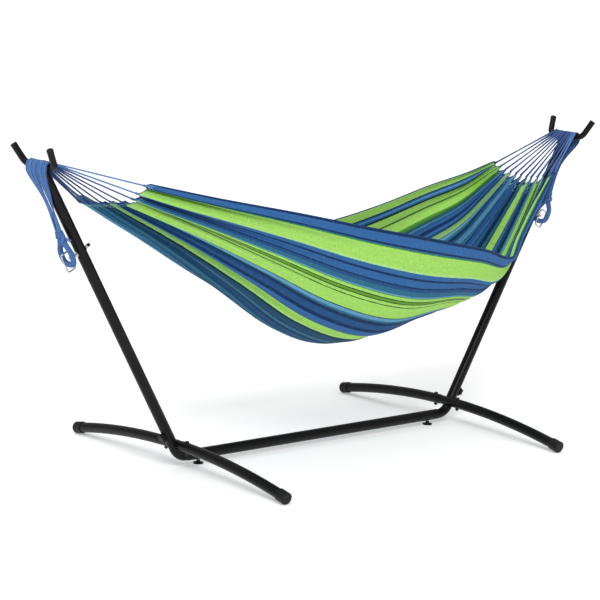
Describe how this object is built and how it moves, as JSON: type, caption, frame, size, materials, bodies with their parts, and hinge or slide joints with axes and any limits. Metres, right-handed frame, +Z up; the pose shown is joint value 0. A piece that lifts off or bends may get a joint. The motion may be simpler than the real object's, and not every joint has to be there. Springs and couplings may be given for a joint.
{
  "type": "hammock with stand",
  "caption": "Striped cotton double hammock with cord clews, hung on a free-standing black steel stand with arched feet, hook bars and carabiner tethers.",
  "frame": {"origin": "on the ground under the middle of the stand", "axes": "+X along the hammock towards the head end, +Y across it, +Z up"},
  "size_m": [2.816, 1.304, 1.2551],
  "materials": {
    "black_steel": "semi-gloss powder coat",
    "black_plastic": "fine moulded grain",
    "black_hardware": "black oxide",
    "zinc_hardware": "bright zinc plate",
    "blue_cord": "twisted cotton cord",
    "striped_cotton": "plain-woven cotton in green, royal blue, navy and teal warp stripes"
  },
  "bodies": {
    "stand": {"base_tube": "black_steel", "elbow_left": "black_steel", "elbow_right": "black_steel", "post_left": "black_steel", "post_right": "black_steel", "hook_bar_left": "black_steel", "hook_bar_right": "black_steel", "horn_plugs_left": "black_plastic", "horn_plugs_right": "black_plastic", "foot_tube_front_left": "black_steel", "foot_tube_front_right": "black_steel", "foot_tube_rear_left": "black_steel", "foot_tube_rear_right": "black_steel", "foot_cap_front_left": "black_plastic", "foot_cap_front_right": "black_plastic", "foot_cap_rear_left": "black_plastic", "foot_cap_rear_right": "black_plastic", "foot_bolts_left": "black_hardware", "foot_bolts_right": "black_hardware", "foot_nuts_left": "black_hardware", "foot_nuts_right": "black_hardware", "eyebolt_left": "zinc_hardware", "eyebolt_right": "zinc_hardware", "eyebolt_washers_left": "zinc_hardware", "eyebolt_washers_right": "zinc_hardware", "eyebolt_nut_left": "zinc_hardware", "eyebolt_nut_right": "zinc_hardware", "eyebolt_cap_left": "black_plastic", "eyebolt_cap_right": "black_plastic", "clew_tail_left": "blue_cord", "clew_tail_right": "blue_cord", "clew_knot_left": "blue_cord", "clew_knot_right": "blue_cord", "eye_loop_left": "blue_cord", "eye_loop_right": "blue_cord", "rope_end_left": "blue_cord", "rope_end_right": "blue_cord"},
    "knob_left": {"clamp_knob_left": "black_plastic", "clamp_knob_stud_left": "zinc_hardware"},
    "leveller_left": {"leveller_pad_left": "black_plastic", "leveller_stem_left": "zinc_hardware"},
    "carabiner_left": {"carabiner_frame_left": "zinc_hardware"},
    "gate_left": {"carabiner_gate_left": "zinc_hardware"},
    "knob_right": {"clamp_knob_right": "black_plastic", "clamp_knob_stud_right": "zinc_hardware"},
    "leveller_right": {"leveller_pad_right": "black_plastic", "leveller_stem_right": "zinc_hardware"},
    "carabiner_right": {"carabiner_frame_right": "zinc_hardware"},
    "gate_right": {"carabiner_gate_right": "zinc_hardware"},
    "hammock": {"fabric_bed": "striped_cotton", "clew_strings_left": "blue_cord", "clew_strings_right": "blue_cord"}
  },
  "joints": [
    {"name": "hammock_swing", "type": "hinge", "parent": "stand", "child": "hammock", "pos_m": [0, 0, 1.18], "axis": [1, 0, 0], "range_deg": [-30, 30], "deforming": ["clew_strings_left", "clew_strings_right"]},
    {"name": "knob_turn_left", "type": "hinge", "parent": "stand", "child": "knob_left", "pos_m": [-0.78489, 0, 0.12061], "axis": [-0.8682, 0, -0.4962], "range_deg": [0, 720]},
    {"name": "leveller_turn_left", "type": "hinge", "parent": "stand", "child": "leveller_left", "pos_m": [-0.608, 0, 0.01], "axis": [0, 0, 1], "range_deg": [-360, 360]},
    {"name": "carabiner_swing_left", "type": "hinge", "parent": "stand", "child": "carabiner_left", "pos_m": [-1.21356, 0, 0.83737], "axis": [-0.4962, 0, 0.8682], "range_deg": [-10, 10]},
    {"name": "gate_open_left", "type": "hinge", "parent": "carabiner_left", "child": "gate_left", "pos_m": [-1.23427, 0, 0.79904], "axis": [0, 1, 0], "range_deg": [0, 18], "stiffness_Nm_per_rad": 0.02, "springref_deg": -20.05},
    {"name": "knob_turn_right", "type": "hinge", "parent": "stand", "child": "knob_right", "pos_m": [0.78489, 0, 0.12061], "axis": [0.8682, 0, -0.4962], "range_deg": [0, 720]},
    {"name": "leveller_turn_right", "type": "hinge", "parent": "stand", "child": "leveller_right", "pos_m": [0.608, 0, 0.01], "axis": [0, 0, 1], "range_deg": [-360, 360]},
    {"name": "carabiner_swing_right", "type": "hinge", "parent": "stand", "child": "carabiner_right", "pos_m": [1.21356, 0, 0.83737], "axis": [0.4962, 0, 0.8682], "range_deg": [-10, 10]},
    {"name": "gate_open_right", "type": "hinge", "parent": "carabiner_right", "child": "gate_right", "pos_m": [1.23427, 0, 0.79904], "axis": [0, -1, 0], "range_deg": [0, 18], "stiffness_Nm_per_rad": 0.02, "springref_deg": -20.05}
  ]
}
